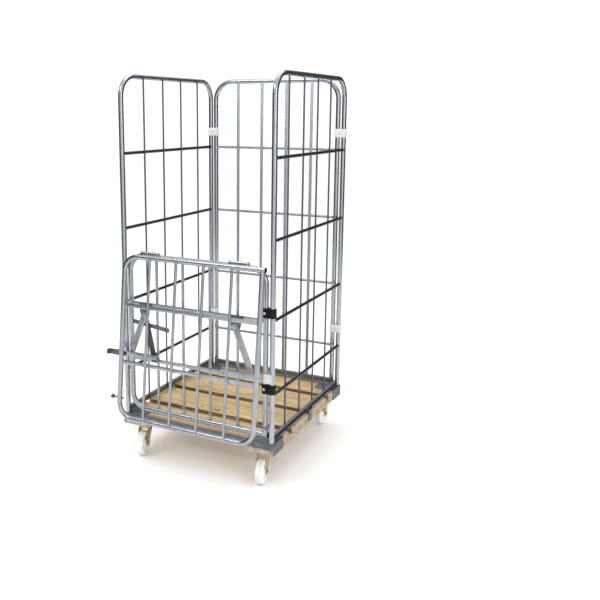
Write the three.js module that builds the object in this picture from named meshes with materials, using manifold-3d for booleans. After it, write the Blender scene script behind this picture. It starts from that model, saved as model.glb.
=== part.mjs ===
// Roll cage container with a timber platform, three fixed mesh walls and a two-part front gate.
// Millimetres, +Z up. The origin is on the floor, under the middle of the cage's outline.
// The front faces -Y, and the gate is hinged at its right-hand side (+X).

import * as THREE from 'three';
import { mergeVertices } from 'three/addons/utils/BufferGeometryUtils.js';
import Module from 'manifold-3d';

const wasm = await Module();
wasm.setup();

// Driving dimensions
const wallSpacing = 695; // between the centre planes of the two side walls
const wallDepth = 754; // between the front and rear uprights of a side wall
const footHeight = 190; // floor to the top of the corner brackets
const wallHeight = 1637.5; // floor to the centre of the top tubes
const wallCornerRadius = 88;
const tubeRadius = 11;
const tubeBore = 9.4;
const pairSpacing = 29; // between two tubes held side by side by a clip
const rowHeights = [389, 692, 1008, 1322]; // the four cross rods of a wall
const rowRadius = 7;
const backRowRadius = 6;
const wireRadius = 3.8;
const wireCount = 4;
const gap = 0.3; // left between pieces that touch

const railHeight = 22; // the channel along the foot of each wall
const railBottom = 197;
const railDepth = 15;
const railSheet = 2.5;
const railInside = 9; // from the wall's plane to the channel's inner face
const flatWireWidth = 14;
const flatWireSheet = 4;
const wireFoot = railBottom + 8; // the upright wires stand inside the channel
const wireTop = wallHeight - 5;
const weldOverlap = 1;
const strapWidth = 34;
const strapBottom = 150;

const lowerHeight = 675; // between the two cross tubes of each gate half
const upperHeight = 688;
const gateBottom = 223;
const gateCornerRadius = 65;
const gateBarRadius = 6;
const gateBarCount = 4;
const gateBarInset = 3; // from the middle of a cross tube to the end of a bar
const gateRails = [207, 450]; // flat rails, measured from the fold hinge
const gateRailHeight = 16;
const gateRailSheet = 5;
const tie = { left: 287, right: 308, reach: -129, height: 18, sheet: 4 }; // sloping bar, from the hinge
const plugStem = 12;
const plugStemRadius = 8;
const plugHead = 3;
const foldLean = 6.2; // degrees the folded half leans out from upright
const foldOffset = 16.5; // from the hinge to the tube of each half, along Y and along Z
const barrelCentre = 207;
const barrelLength = 78;
const barrelRadius = 7.5;
const lugSheet = 4;
const lugWidth = 12;
const lugGap = 0.5; // between a lug and the end of its barrel
const hingeWeb = { inset: 9, sheet: 5, length: 8.5, reach: 13.6 }; // joins a barrel to its tube
const pinRadius = 4;
const pinHeadRadius = 6.5;
const pinHeadHeight = 3;
const hingeClearance = 0.4;
const latchDrop = 418; // from the hinge-side tube down to the latch
const latchReach = 75;
const latchSheet = 4;
const latchHalf = 11; // half the height of the hook's outer end
const latchLip = 16; // how far the lip reaches back
const rivetRadius = 4;
const rivetHeadRadius = 8;
const pegDrop = 612;
const pegReach = 53;
const pegRadius = 4;
const pegKnob = 12; // length of the knob at the end of a peg
const pegKnobRadius = 9;
const stays = {
  left: { sign: -1, pivot: -242, drop: 43, strap: [-334.5, -180] },
  right: { sign: 1, pivot: 190, drop: 38, strap: [130, 290] },
};
const stayLength = 190;
const stayWidth = 28;
const staySheet = 4;
const stayAngle = 22; // degrees each stay stands from hanging straight down
const stayBoltRadius = 4;
const stayBoltHead = 8;
const bracketSheet = 4;
const strapSheet = 3;
const strapLeg = 4;
const strapHeight = 20;

const clipHeight = 38;
const clipRadius = 15;
const clipBore = 11.42;
const spacerLap = 3; // how far the front clip laps past the middle of each tube
const screwRadius = 2.9;
const screwHeadRadius = 5.5;
const screwHeadHeight = 4;
const gateHingeHeights = [416, 725];
const frontClipHeight = 460;
const rearClipHeights = [474, 1397];

const platformWidth = 724;
const platformFront = -14;
const platformRear = wallDepth + 14;
const plateSheet = 3;
const railLip = 20; // how far a platform rail reaches over the deck
const cornerSize = 100;
const skirtHeight = 27;
const bearerWidth = 112;
const bearerHeight = 24;
const boardGap = 35;
const boardCount = 4;
const boardPitch = 215;
const footPegRadius = 8; // the pegs that the wall tubes stand on
const footPegHeight = 40;
const footPegRoot = 2; // how far a peg is let into its plate

const wheelRadius = 54;
const wheelWidth = 32;
const wheelBore = 5.4;
const hubRadius = 18;
const hubHalf = 18.5;
const rimRadius = 36;
const webHalf = 9;
const axleRadius = 5;
const forkInside = 20;
const forkSheet = 3;
const kingpinRadius = 6;
const crownTop = 124;
const crownHeight = 10;
const crownRadius = 31;
const casterPlate = { halfWidth: 50, halfDepth: 42.5, sheet: 4 };
const casterHeight = 139.7;
const casterTrail = 36;
const casterInset = 50; // from the upright tubes back to the caster's centre
const casterAcross = 290;
const casterTurn = 12; // degrees the two swivel casters stand turned from straight ahead

const deg = Math.PI / 180;
const halfSpacing = wallSpacing / 2;
const innerPost = halfSpacing - pairSpacing;
const middle = wallDepth / 2;
const roundSides = 12;
const rodSides = 8;
const wireSides = 6;

const finishes = {
  zinc: { color: 0xb4b9bd, roughness: 0.38, metalness: 0.9 },
  darkZinc: { color: 0x6f767b, roughness: 0.5, metalness: 0.8 },
  yellowZinc: { color: 0xc6a24a, roughness: 0.4, metalness: 0.85 },
  pine: { color: 0xd9a860, roughness: 0.7, metalness: 0 },
  paleNylon: { color: 0xf0f0ec, roughness: 0.45, metalness: 0 },
  blackPlastic: { color: 0x17181a, roughness: 0.5, metalness: 0 },
};

const cage = new THREE.Group();

// Solids

// Places are rounded to a thousandth of a millimetre, so that faces meant to meet do meet.
function toSolid(geometry) {
  const bare = geometry.index ? geometry.toNonIndexed() : geometry.clone();
  bare.deleteAttribute('normal');
  bare.deleteAttribute('uv');
  const places = bare.attributes.position.array;
  places.forEach((value, index) => {
    places[index] = Math.round(value * 1000) / 1000;
  });
  const merged = mergeVertices(bare, 1e-4);
  const mesh = new wasm.Mesh({
    numProp: 3,
    vertProperties: new Float32Array(merged.attributes.position.array),
    triVerts: new Uint32Array(merged.index.array),
  });
  return new wasm.Manifold(mesh);
}

function toGeometry(solid) {
  const mesh = solid.getMesh();
  const geometry = new THREE.BufferGeometry();
  geometry.setAttribute('position', new THREE.BufferAttribute(mesh.vertProperties, 3));
  geometry.setIndex(new THREE.BufferAttribute(mesh.triVerts, 1));
  return geometry;
}

function weld(solids) {
  return solids.reduce((whole, piece) => whole.add(piece));
}

function addPiece(name, solid, finish, parent = cage) {
  const material = new THREE.MeshStandardMaterial(finishes[finish]);
  const mesh = new THREE.Mesh(toGeometry(solid), material);
  mesh.name = name;
  parent.add(mesh);
  return mesh;
}

function box(low, high) {
  const size = high.map((value, axis) => value - low[axis]);
  const geometry = new THREE.BoxGeometry(...size);
  geometry.translate(...low.map((value, axis) => (value + high[axis]) / 2));
  return toSolid(geometry);
}

// A straight rod between two points, with a corner of its outline on each main axis.
function rod(from, to, radius, sides = rodSides) {
  const start = new THREE.Vector3(...from);
  const end = new THREE.Vector3(...to);
  const along = end.clone().sub(start);
  const geometry = new THREE.CylinderGeometry(radius, radius, along.length(), sides);
  const turn = new THREE.Quaternion().setFromUnitVectors(new THREE.Vector3(0, 1, 0), along.normalize());
  geometry.applyQuaternion(turn);
  geometry.translate(...start.add(end).multiplyScalar(0.5).toArray());
  return toSolid(geometry);
}

// A path of straight runs joined by arcs, which steps once along each run and evenly round each arc.
class BentPath extends THREE.Curve {
  constructor(corners, radius, arcSteps = 6) {
    super();
    this.points = [];
    this.tangents = [];
    const last = corners.length - 1;
    corners.forEach((corner, index) => {
      if (index === 0 || index === last) {
        const neighbour = corners[index === 0 ? 1 : last - 1];
        const tangent = neighbour.clone().sub(corner).normalize();
        this.points.push(corner);
        this.tangents.push(index === 0 ? tangent : tangent.negate());
        return;
      }
      const into = corner.clone().sub(corners[index - 1]).normalize();
      const out = corners[index + 1].clone().sub(corner).normalize();
      const centre = corner.clone().addScaledVector(into, -radius).addScaledVector(out, radius);
      for (let step = 0; step <= arcSteps; step += 1) {
        const angle = (step / arcSteps) * 90 * deg;
        const point = centre.clone();
        point.addScaledVector(out, -radius * Math.cos(angle));
        point.addScaledVector(into, radius * Math.sin(angle));
        const tangent = into.clone().multiplyScalar(Math.cos(angle));
        tangent.addScaledVector(out, Math.sin(angle));
        this.points.push(point);
        this.tangents.push(tangent);
      }
    });
    this.steps = this.points.length - 1;
  }

  getPointAt(fraction) {
    return this.points[Math.round(fraction * this.steps)].clone();
  }

  getTangentAt(fraction) {
    return this.tangents[Math.round(fraction * this.steps)].clone();
  }
}

function ring(across, up, radius, sides) {
  const corners = [];
  for (let side = 0; side < sides; side += 1) {
    const angle = (side / sides) * 360 * deg;
    corners.push(new THREE.Vector2(across + radius * Math.cos(angle), up + radius * Math.sin(angle)));
  }
  return corners;
}

function bentRod(path, radius, sides) {
  const section = new THREE.Shape(ring(0, 0, radius, sides));
  const options = { steps: path.steps, extrudePath: path, bevelEnabled: false };
  return toSolid(new THREE.ExtrudeGeometry(section, options));
}

function points(...list) {
  return list.map((place) => new THREE.Vector3(...place));
}

// A flat plate cut from an outline in the XZ plane, from `back` to `back + thickness` along Y.
function plate(outline, back, thickness, holes = []) {
  const shape = new THREE.Shape(outline.map(([x, z]) => new THREE.Vector2(x, z)));
  shape.holes = holes.map((hole) => new THREE.Path(ring(...hole, roundSides)));
  const options = { depth: thickness, bevelEnabled: false };
  const geometry = new THREE.ExtrudeGeometry(shape, options);
  geometry.rotateX(90 * deg);
  geometry.translate(0, back + thickness, 0);
  return toSolid(geometry);
}

// Walls

// A wall stands in the plane Y = 0 from X = 0 to X = width, with its wires on the +Y side.
function wallSolid(width, wireMaker, rowSize) {
  const tubePath = (foot) =>
    new BentPath(
      points([0, 0, foot], [0, 0, wallHeight], [width, 0, wallHeight], [width, 0, foot]),
      wallCornerRadius,
    );
  const start = footHeight + gap;
  const top = railBottom + railHeight;
  const front = railInside - railDepth;
  const parts = [
    bentRod(tubePath(start), tubeRadius, roundSides),
    box([0, railInside - railSheet, railBottom], [width, railInside, top]),
    box([0, front, railBottom], [width, railInside, railBottom + railSheet]),
    box([0, front, top - railSheet], [width, railInside, top]),
  ];
  rowHeights.forEach((height) => parts.push(rod([0, 0, height], [width, 0, height], rowSize)));
  for (let index = 1; index <= wireCount; index += 1) {
    parts.push(wireMaker((width * index) / (wireCount + 1)));
  }
  return weld(parts).subtract(bentRod(tubePath(start - 1), tubeBore, rodSides));
}

function roundWire(across) {
  const depth = rowRadius + wireRadius - weldOverlap;
  return rod([across, depth, wireFoot], [across, depth, wireTop], wireRadius, wireSides);
}

function flatWire(across) {
  const depth = backRowRadius - weldOverlap;
  const half = flatWireWidth / 2;
  return box([across - half, depth, wireFoot], [across + half, depth + flatWireSheet, wireTop]);
}

// A strap halfway along the foot channel that laps down over the side of the platform.
function footStrap() {
  const left = middle - strapWidth / 2;
  const right = middle + strapWidth / 2;
  const outer = halfSpacing - platformWidth / 2;
  const [low, high] = [railBottom + railSheet + 1, railBottom + railHeight - railSheet - 1];
  const tongue = box([left, outer, strapBottom], [right, outer + plateSheet, high]);
  return tongue.add(box([left, outer, low], [right, railInside - 1, high]));
}

function addWalls() {
  const side = wallSolid(wallDepth, roundWire, rowRadius).add(footStrap());
  const left = addPiece('left_side_wall', side, 'zinc');
  left.rotation.z = -90 * deg;
  left.position.set(-halfSpacing, wallDepth, 0);
  const right = addPiece('right_side_wall', side, 'zinc');
  right.rotation.z = 90 * deg;
  right.position.set(halfSpacing, 0, 0);
  const back = addPiece('back_wall', wallSolid(innerPost * 2, flatWire, backRowRadius), 'zinc');
  back.rotation.z = 180 * deg;
  back.position.set(innerPost, wallDepth, 0);
}

// Clips that hold two upright tubes side by side

// The clip runs from the inner tube at X = 0 to the outer one at X = pairSpacing.
function pairClip() {
  const outline = new THREE.Shape();
  outline.absarc(0, 0, clipRadius, 90 * deg, 270 * deg);
  outline.absarc(pairSpacing, 0, clipRadius, -90 * deg, 90 * deg);
  outline.holes = [0, pairSpacing].map((across) => new THREE.Path(ring(across, 0, clipBore, 16)));
  const options = { depth: clipHeight, bevelEnabled: false, curveSegments: 8 };
  const geometry = new THREE.ExtrudeGeometry(outline, options);
  geometry.translate(0, 0, -clipHeight / 2);
  return toSolid(geometry);
}

function placeClip(clip, side, depth, height) {
  clip.position.set(side * innerPost, depth, height);
  if (side < 0) clip.rotation.z = 180 * deg;
}

function addClips() {
  const levels = ['lower', 'upper'];
  const sides = { left: -1, right: 1 };
  levels.forEach((level, index) => {
    Object.entries(sides).forEach(([side, sign]) => {
      const clip = addPiece(`${side}_${level}_wall_clip`, pairClip(), 'paleNylon');
      placeClip(clip, sign, wallDepth, rearClipHeights[index]);
    });
    const screwHole = rod([0, -clipRadius - 1, 0], [0, -clipBore + 1, 0], screwRadius + gap);
    const block = addPiece(`${level}_gate_hinge`, pairClip().subtract(screwHole), 'blackPlastic');
    placeClip(block, 1, 0, gateHingeHeights[index]);
    const under = -clipRadius - gap;
    const head = rod([0, under - screwHeadHeight, 0], [0, under, 0], screwHeadRadius, 6);
    const shank = rod([0, -clipRadius - 1, 0], [0, -clipBore - gap, 0], screwRadius);
    const screw = addPiece(`${level}_gate_hinge_screw`, head.add(shank), 'zinc');
    placeClip(screw, 1, 0, gateHingeHeights[index]);
  });
  const low = [-spacerLap, -clipRadius, -clipHeight];
  const high = [pairSpacing + spacerLap, clipRadius, clipHeight];
  const spacer = pairClip().intersect(box(low, high));
  placeClip(addPiece('gate_post_clip', spacer, 'paleNylon'), 1, 0, frontClipHeight);
}

// Front gate

// One half of the gate hangs in the plane Y = 0 from its hinge-side tube at Z = 0. One tube is bent
// round three corners and welded to itself at the fourth, whose open end faces +X.
function gateHalf(height, squareCornerAtHinge, barSide) {
  const start = squareCornerAtHinge ? 0 : -height;
  const inward = squareCornerAtHinge ? -1 : 1;
  const far = start + inward * height;
  const tube = (overhang, radius, sides) => {
    const openRun = points(
      [innerPost + overhang, 0, start],
      [-innerPost, 0, start],
      [-innerPost, 0, far],
      [0, 0, far],
    );
    const lastRun = points([0, 0, far], [innerPost, 0, far], [innerPost, 0, start + inward * weldOverlap]);
    const runs = [openRun, lastRun].map((run) => new BentPath(run, gateCornerRadius));
    return weld(runs.map((run) => bentRod(run, radius, sides)));
  };
  const parts = [tube(tubeRadius + 1, tubeRadius, roundSides)];
  gateRails.forEach((drop) => {
    const [halfSheet, halfHeight] = [gateRailSheet / 2, gateRailHeight / 2];
    parts.push(
      box([-innerPost, -halfSheet, -drop - halfHeight], [innerPost, halfSheet, -drop + halfHeight]),
    );
  });
  const depth = barSide * (gateRailSheet / 2 + gateBarRadius - weldOverlap);
  for (let index = 1; index <= gateBarCount; index += 1) {
    const across = innerPost * ((2 * index) / (gateBarCount + 1) - 1);
    parts.push(rod([across, depth, -gateBarInset], [across, depth, gateBarInset - height], gateBarRadius));
  }
  return { solid: weld(parts), bore: tube(tubeRadius + 2, tubeBore, rodSides) };
}

// A flat bar that slopes across the lower half, from its left-hand post past the first upright bar.
function tieBar() {
  const run = tie.reach + innerPost;
  const fall = tie.right - tie.left;
  const bar = box([0, 0, -tie.height / 2], [Math.hypot(run, fall), tie.sheet, tie.height / 2]);
  const slope = Math.atan2(fall, run) / deg;
  return bar.rotate([0, slope, 0]).translate([-innerPost, -tie.sheet / 2, -tie.left]);
}

// A plug for the open end of a gate half's tube.
function endPlug() {
  const face = innerPost + tubeRadius + 1 + gap;
  const stem = rod([face - plugStem, 0, 0], [face + 1, 0, 0], plugStemRadius);
  return stem.add(rod([face, 0, 0], [face + plugHead, 0, 0], tubeRadius, roundSides));
}

// The fold hinge lies in front of and between the two halves. A barrel on the lower half holds a pin,
// and a lug of the upper half sits on the pin at each end of the barrel.
function hingeBarrel(centre) {
  const web = new THREE.BoxGeometry(barrelLength - 2 * hingeWeb.inset, hingeWeb.sheet, hingeWeb.length);
  web.translate(0, 0, hingeWeb.reach);
  web.rotateX(45 * deg);
  web.translate(centre, 0, 0);
  const half = barrelLength / 2;
  const axis = [-foldOffset, foldOffset];
  const barrel = rod([centre - half, ...axis], [centre + half, ...axis], barrelRadius, roundSides);
  return toSolid(web).add(barrel);
}

function hingeLugs(centre) {
  const lugs = [-1, 1].map((side) => {
    const near = centre + side * (barrelLength / 2 + lugGap);
    const far = near + side * lugSheet;
    const eye = rod([near, 0, 0], [far, 0, 0], barrelRadius, roundSides);
    const reach = foldOffset * Math.SQRT2;
    const arm = new THREE.BoxGeometry(lugSheet, lugWidth, reach);
    arm.translate(0, 0, -reach / 2);
    arm.rotateX(-45 * deg);
    arm.translate((near + far) / 2, 0, 0);
    return eye.add(toSolid(arm));
  });
  return weld(lugs);
}

function foldPin(centre) {
  const reach = barrelLength / 2 + lugGap + lugSheet + gap;
  const shank = rod([centre - reach - 1, 0, 0], [centre + reach + 1, 0, 0], pinRadius);
  const heads = [-1, 1].map((side) => {
    const from = centre + side * reach;
    return rod([from, 0, 0], [from + side * pinHeadHeight, 0, 0], pinHeadRadius);
  });
  return weld([shank, ...heads]);
}

function addGate() {
  const lower = gateHalf(lowerHeight, false, 1);
  const pinHole = (centre, axis) => {
    const reach = barrelLength;
    return rod([centre - reach, ...axis], [centre + reach, ...axis], pinRadius + hingeClearance, roundSides);
  };
  const centres = { left: -barrelCentre, right: barrelCentre };
  let lowerSolid = weld([lower.solid, tieBar(), ...Object.values(centres).map(hingeBarrel)]);
  lowerSolid = lowerSolid.subtract(lower.bore);
  Object.values(centres).forEach((centre) => {
    lowerSolid = lowerSolid.subtract(pinHole(centre, [-foldOffset, foldOffset]));
  });
  addPiece('lower_gate', lowerSolid, 'zinc').position.z = gateBottom + lowerHeight;
  addPiece('lower_gate_plug', endPlug(), 'blackPlastic').position.z = gateBottom;

  const upper = gateHalf(upperHeight, true, -1);
  const drop = [0, -foldOffset, -foldOffset];
  let upperSolid = upper.solid.translate(drop).add(weld(Object.values(centres).map(hingeLugs)));
  upperSolid = upperSolid.subtract(upper.bore.translate(drop));
  Object.values(centres).forEach((centre) => {
    upperSolid = upperSolid.subtract(pinHole(centre, [0, 0]));
  });
  const folded = new THREE.Group();
  folded.position.set(0, -foldOffset, gateBottom + lowerHeight + foldOffset);
  folded.rotation.x = -foldLean * deg;
  addPiece('upper_gate', upperSolid, 'zinc', folded);
  addPiece('upper_gate_plug', endPlug(), 'blackPlastic', folded).position.set(...drop);
  Object.entries(centres).forEach(([side, centre]) => {
    addPiece(`${side}_fold_pin`, foldPin(centre), 'zinc', folded);
  });
  addLatch(folded);
  cage.add(folded);
}

// The latch hook turns on a rivet on the upper half's left tube, and a stop peg stands on each side.
function addLatch(folded) {
  const face = tubeRadius - foldOffset;
  const height = -foldOffset - latchDrop;
  const tip = -innerPost - latchReach;
  const outline = [
    [-innerPost + 14, height + 8],
    [-innerPost + 14, height - 8],
    [-innerPost - 12, height - 13],
    [tip, height - latchHalf],
    [tip, height + latchHalf],
    [-innerPost - 12, height + 13],
  ];
  const back = face + 2;
  const front = back + latchSheet;
  const hook = plate(outline, back, latchSheet, [[-innerPost, height, rivetRadius + gap]]);
  const lip = box([tip, back - latchLip, height - latchHalf], [tip + 5, front, height + latchHalf]);
  addPiece('latch_hook', hook.add(lip), 'darkZinc', folded);
  const shank = rod([-innerPost, face + gap, height], [-innerPost, front + 1, height], rivetRadius);
  const head = rod([-innerPost, front + gap, height], [-innerPost, front + 3.3, height], rivetHeadRadius);
  addPiece('latch_rivet', shank.add(head), 'zinc', folded);
  const pegHeight = -foldOffset - pegDrop;
  const pegDepth = face + gap + pegRadius;
  Object.entries({ left: -1, right: 1 }).forEach(([side, sign]) => {
    const root = sign * (innerPost - 8);
    const end = sign * (innerPost + pegReach);
    const peg = rod([root, pegDepth, pegHeight], [end, pegDepth, pegHeight], pegRadius);
    const inner = end - sign * pegKnob;
    const knob = rod([inner, pegDepth, pegHeight], [end, pegDepth, pegHeight], pegKnobRadius, roundSides);
    addPiece(`${side}_stop_peg`, peg.add(knob), 'darkZinc', folded);
  });
}

// Two flat stays swing on the lower half, each behind a guide strap.
function addStays() {
  const railFront = -gateRailSheet / 2 - gap;
  const plateFront = -tubeRadius - gap;
  const plateBack = plateFront + bracketSheet;
  const armFront = plateFront - gap - staySheet;
  const strapFront = armFront - gap - strapSheet;
  const topRail = gateBottom + lowerHeight - gateRails[0];
  const lowRail = gateBottom + lowerHeight - gateRails[1];
  Object.entries(stays).forEach(([side, stay]) => {
    const { sign, pivot } = stay;
    const pivotHeight = topRail - stay.drop;
    const across = (distance) => pivot + sign * distance;
    const hole = [pivot, pivotHeight, stayBoltRadius + gap];
    const outline = [
      [across(30), topRail + 9],
      [across(-26), topRail + 9],
      [across(-20), pivotHeight - 4],
      [across(-8), pivotHeight - 24],
      [across(12), pivotHeight - 24],
      [across(24), pivotHeight + 8],
    ];
    const flange = box(
      [Math.min(across(30), across(-26)), plateBack - 1, topRail - 7],
      [Math.max(across(30), across(-26)), railFront, topRail + 9],
    );
    const bracket = plate(outline, plateFront, bracketSheet, [hole]).add(flange);
    addPiece(`${side}_stay_bracket`, bracket, 'darkZinc');

    const half = stayWidth / 2;
    const arm = plate(
      [[-half + 4, half], [-half, 6], [-half, 8 - stayLength], [8 - half, -stayLength],
        [half - 8, -stayLength], [half, 8 - stayLength], [half, 6], [half - 4, half]],
      armFront,
      staySheet,
      [[0, 0, stayBoltRadius + gap]],
    );
    const stayArm = addPiece(`${side}_stay`, arm, 'zinc');
    stayArm.position.set(pivot, 0, pivotHeight);
    stayArm.rotation.y = sign * -stayAngle * deg;

    const under = armFront - gap;
    const head = rod([pivot, under - 4, pivotHeight], [pivot, under, pivotHeight], stayBoltHead, 6);
    const shank = rod([pivot, under - 1, pivotHeight], [pivot, railFront, pivotHeight], stayBoltRadius);
    addPiece(`${side}_stay_bolt`, head.add(shank), 'zinc');

    const [low, high] = stay.strap;
    const strapFoot = lowRail + gateRailHeight / 2 + 2;
    const strapTop = strapFoot + strapHeight;
    const strap = box([low, strapFront, strapFoot], [high, strapFront + strapSheet, strapTop]);
    const legs = [low, high - strapLeg].map((edge) => {
      const back = edge < -innerPost ? -tubeRadius / 2 : railFront;
      return box([edge, strapFront, strapFoot - 12], [edge + strapLeg, back, strapTop]);
    });
    addPiece(`${side}_guide_strap`, weld([strap, ...legs]), 'zinc');
  });

  const { pivot, drop, strap } = stays.left;
  const pivotHeight = topRail - drop;
  const brace = plate(
    [[pivot - 9, pivotHeight + 10], [pivot - 9, pivotHeight - 8], [strap[1] - 34, lowRail - 6],
      [strap[1] - 6, lowRail - 6], [pivot + 9, pivotHeight + 4], [pivot + 9, pivotHeight + 10]],
    plateBack + gap,
    railFront - plateBack - gap,
    [[pivot, pivotHeight, stayBoltRadius + gap]],
  );
  addPiece('left_stay_brace', brace, 'darkZinc');
}

// Platform

function footPeg(across) {
  return rod([across, 0, footHeight - footPegRoot], [across, 0, footHeight + footPegHeight], footPegRadius);
}

function addPlatform() {
  const halfWidth = platformWidth / 2;
  const edge = halfWidth - plateSheet - gap;
  const front = platformFront + plateSheet + gap;
  const rear = platformRear - plateSheet - gap;
  const boardTop = footHeight - plateSheet - gap;
  const bearerTop = casterHeight + gap + bearerHeight;
  Object.entries({ left: -1, right: 1 }).forEach(([side, sign]) => {
    const faces = [sign * edge, sign * (edge - bearerWidth)].sort((a, b) => a - b);
    const bearer = box([faces[0], front, casterHeight + gap], [faces[1], rear, bearerTop]);
    addPiece(`${side}_bearer`, bearer, 'pine');
  });
  for (let index = 0; index < boardCount; index += 1) {
    const centre = middle + (index - (boardCount - 1) / 2) * boardPitch;
    const low = Math.max(centre - (boardPitch - boardGap) / 2, front);
    const high = Math.min(centre + (boardPitch - boardGap) / 2, rear);
    const board = box([-edge, low, bearerTop + gap], [edge, high, boardTop]);
    addPiece(`deck_board_${index + 1}`, board, 'pine');
  }
  const railEnd = halfWidth - cornerSize - gap;
  const lip = platformFront + railLip;
  const skirtBottom = footHeight - skirtHeight;
  const skirtFace = platformFront + plateSheet;
  const rail = weld([
    box([-railEnd, platformFront, skirtBottom], [railEnd, skirtFace, footHeight]),
    box([-railEnd, platformFront, footHeight - plateSheet], [railEnd, lip, footHeight]),
  ]);
  addPiece('front_rail', rail, 'zinc');
  const rearRail = addPiece('rear_rail', rail, 'zinc');
  rearRail.rotation.z = 180 * deg;
  rearRail.position.y = wallDepth;

  const corners = { front_left: [-1, 0], front_right: [1, 0], rear_left: [-1, 1], rear_right: [1, 1] };
  Object.entries(corners).forEach(([corner, [sign, rearward]]) => {
    const inner = halfWidth - cornerSize;
    const back = platformFront + cornerSize;
    const parts = [
      box([inner, platformFront, footHeight - plateSheet], [halfWidth, back, footHeight]),
      box([inner, platformFront, skirtBottom], [halfWidth, skirtFace, footHeight]),
      box([halfWidth - plateSheet, platformFront, casterHeight + gap], [halfWidth, back, footHeight]),
      footPeg(halfSpacing),
    ];
    if (rearward) parts.push(footPeg(innerPost));
    let bracket = weld(parts);
    if (sign < 0) bracket = bracket.mirror([1, 0, 0]);
    if (rearward) bracket = bracket.mirror([0, 1, 0]);
    const mesh = addPiece(`${corner}_corner_bracket`, bracket, 'darkZinc');
    if (rearward) mesh.position.y = wallDepth;
  });
}

// Casters

function wheelSolid() {
  const half = wheelWidth / 2;
  const profile = [
    [wheelBore, -hubHalf], [hubRadius, -hubHalf], [hubRadius + 2, -webHalf], [rimRadius, -webHalf],
    [rimRadius + 3, -half], [wheelRadius - 5, -half], [wheelRadius, -half + 7],
    [wheelRadius, half - 7], [wheelRadius - 5, half], [rimRadius + 3, half], [rimRadius, webHalf],
    [hubRadius + 2, webHalf], [hubRadius, hubHalf], [wheelBore, hubHalf], [wheelBore, -hubHalf],
  ].map(([radius, along]) => new THREE.Vector2(radius, along));
  const geometry = new THREE.LatheGeometry(profile, 24);
  geometry.rotateZ(-90 * deg);
  return toSolid(geometry);
}

// A side plate of a fork, cut from an outline in the YZ plane.
function forkLeg(outline, side) {
  const outer = side * (forkInside + forkSheet / 2) - forkSheet / 2;
  const leg = plate(outline, outer, forkSheet);
  return leg.rotate([0, 0, -90]).mirror([0, 1, 0]);
}

function axleSolid(trail) {
  const reach = forkInside + forkSheet + gap;
  const place = [-trail, wheelRadius];
  const shank = rod([-reach - 1, ...place], [reach + 1, ...place], axleRadius);
  const ends = [-1, 1].map((side) =>
    rod([side * reach, ...place], [side * (reach + 5), ...place], 9, 6),
  );
  return weld([shank, ...ends]);
}

function axleHole(trail) {
  const place = [-trail, wheelRadius];
  return rod([-40, ...place], [40, ...place], axleRadius + gap, roundSides);
}

function addCaster(corner, across, depth, swivels) {
  const caster = new THREE.Group();
  caster.position.set(across, depth, 0);
  const fixed = new THREE.Group();
  fixed.position.copy(caster.position);
  const { halfWidth, halfDepth, sheet } = casterPlate;
  const plateBottom = casterHeight - sheet;
  const topPlate = box([-halfWidth, -halfDepth, plateBottom], [halfWidth, halfDepth, casterHeight]);
  const trail = swivels ? casterTrail : 0;
  const forkTop = swivels ? crownTop : plateBottom + 1;
  const outline = [
    [29, forkTop], [-29, forkTop], [-trail - 15, 62], [-trail - 9, 42], [-trail + 9, 42],
    [-trail + 16, 58],
  ];
  const legs = weld([forkLeg(outline, -1), forkLeg(outline, 1)]);
  if (swivels) {
    const pinHole = rod([0, 0, 100], [0, 0, casterHeight + 1], kingpinRadius + gap, roundSides);
    const race = rod([0, 0, crownTop + gap], [0, 0, plateBottom + 1], crownRadius - 1, 16);
    const crown = rod([0, 0, crownTop - crownHeight], [0, 0, crownTop], crownRadius, 16);
    const fork = weld([crown, legs]).subtract(pinHole).subtract(axleHole(trail));
    addPiece(`${corner}_caster_plate`, topPlate.add(race).subtract(pinHole), 'yellowZinc', fixed);
    const crownBottom = crownTop - crownHeight - gap;
    const shank = rod([0, 0, crownBottom - 1], [0, 0, casterHeight - 1], kingpinRadius, roundSides);
    const head = rod([0, 0, crownBottom - 4], [0, 0, crownBottom], 9, roundSides);
    addPiece(`${corner}_kingpin`, shank.add(head), 'zinc', fixed);
    addPiece(`${corner}_fork`, fork, 'yellowZinc', caster);
    caster.rotation.z = casterTurn * deg;
  } else {
    const bracket = weld([topPlate, legs]).subtract(axleHole(trail));
    addPiece(`${corner}_caster_bracket`, bracket, 'yellowZinc', fixed);
  }
  const wheel = addPiece(`${corner}_wheel`, wheelSolid(), 'paleNylon', caster);
  wheel.position.set(0, -trail, wheelRadius);
  addPiece(`${corner}_axle`, axleSolid(trail), 'zinc', caster);
  cage.add(fixed, caster);
}

function addCasters() {
  const [front, rear] = [casterInset, wallDepth - casterInset];
  addCaster('front_left', -casterAcross, front, true);
  addCaster('front_right', casterAcross, front, true);
  addCaster('rear_left', -casterAcross, rear, false);
  addCaster('rear_right', casterAcross, rear, false);
}

addPlatform();
addCasters();
addWalls();
addClips();
addGate();
addStays();

// The model is built round the middle of the front uprights, then moved so that the origin lies
// on the floor under the middle of its outline.
const outline = new THREE.Box3().setFromObject(cage, true);
const centre = outline.getCenter(new THREE.Vector3());
cage.position.set(-centre.x, -centre.y, 0);

export default cage;
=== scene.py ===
"""Looks for the roll cage container: galvanised tube and wire, pine, white nylon and yellow zinc."""

import math

import bmesh
import bpy
from mathutils import Matrix, Vector


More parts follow.
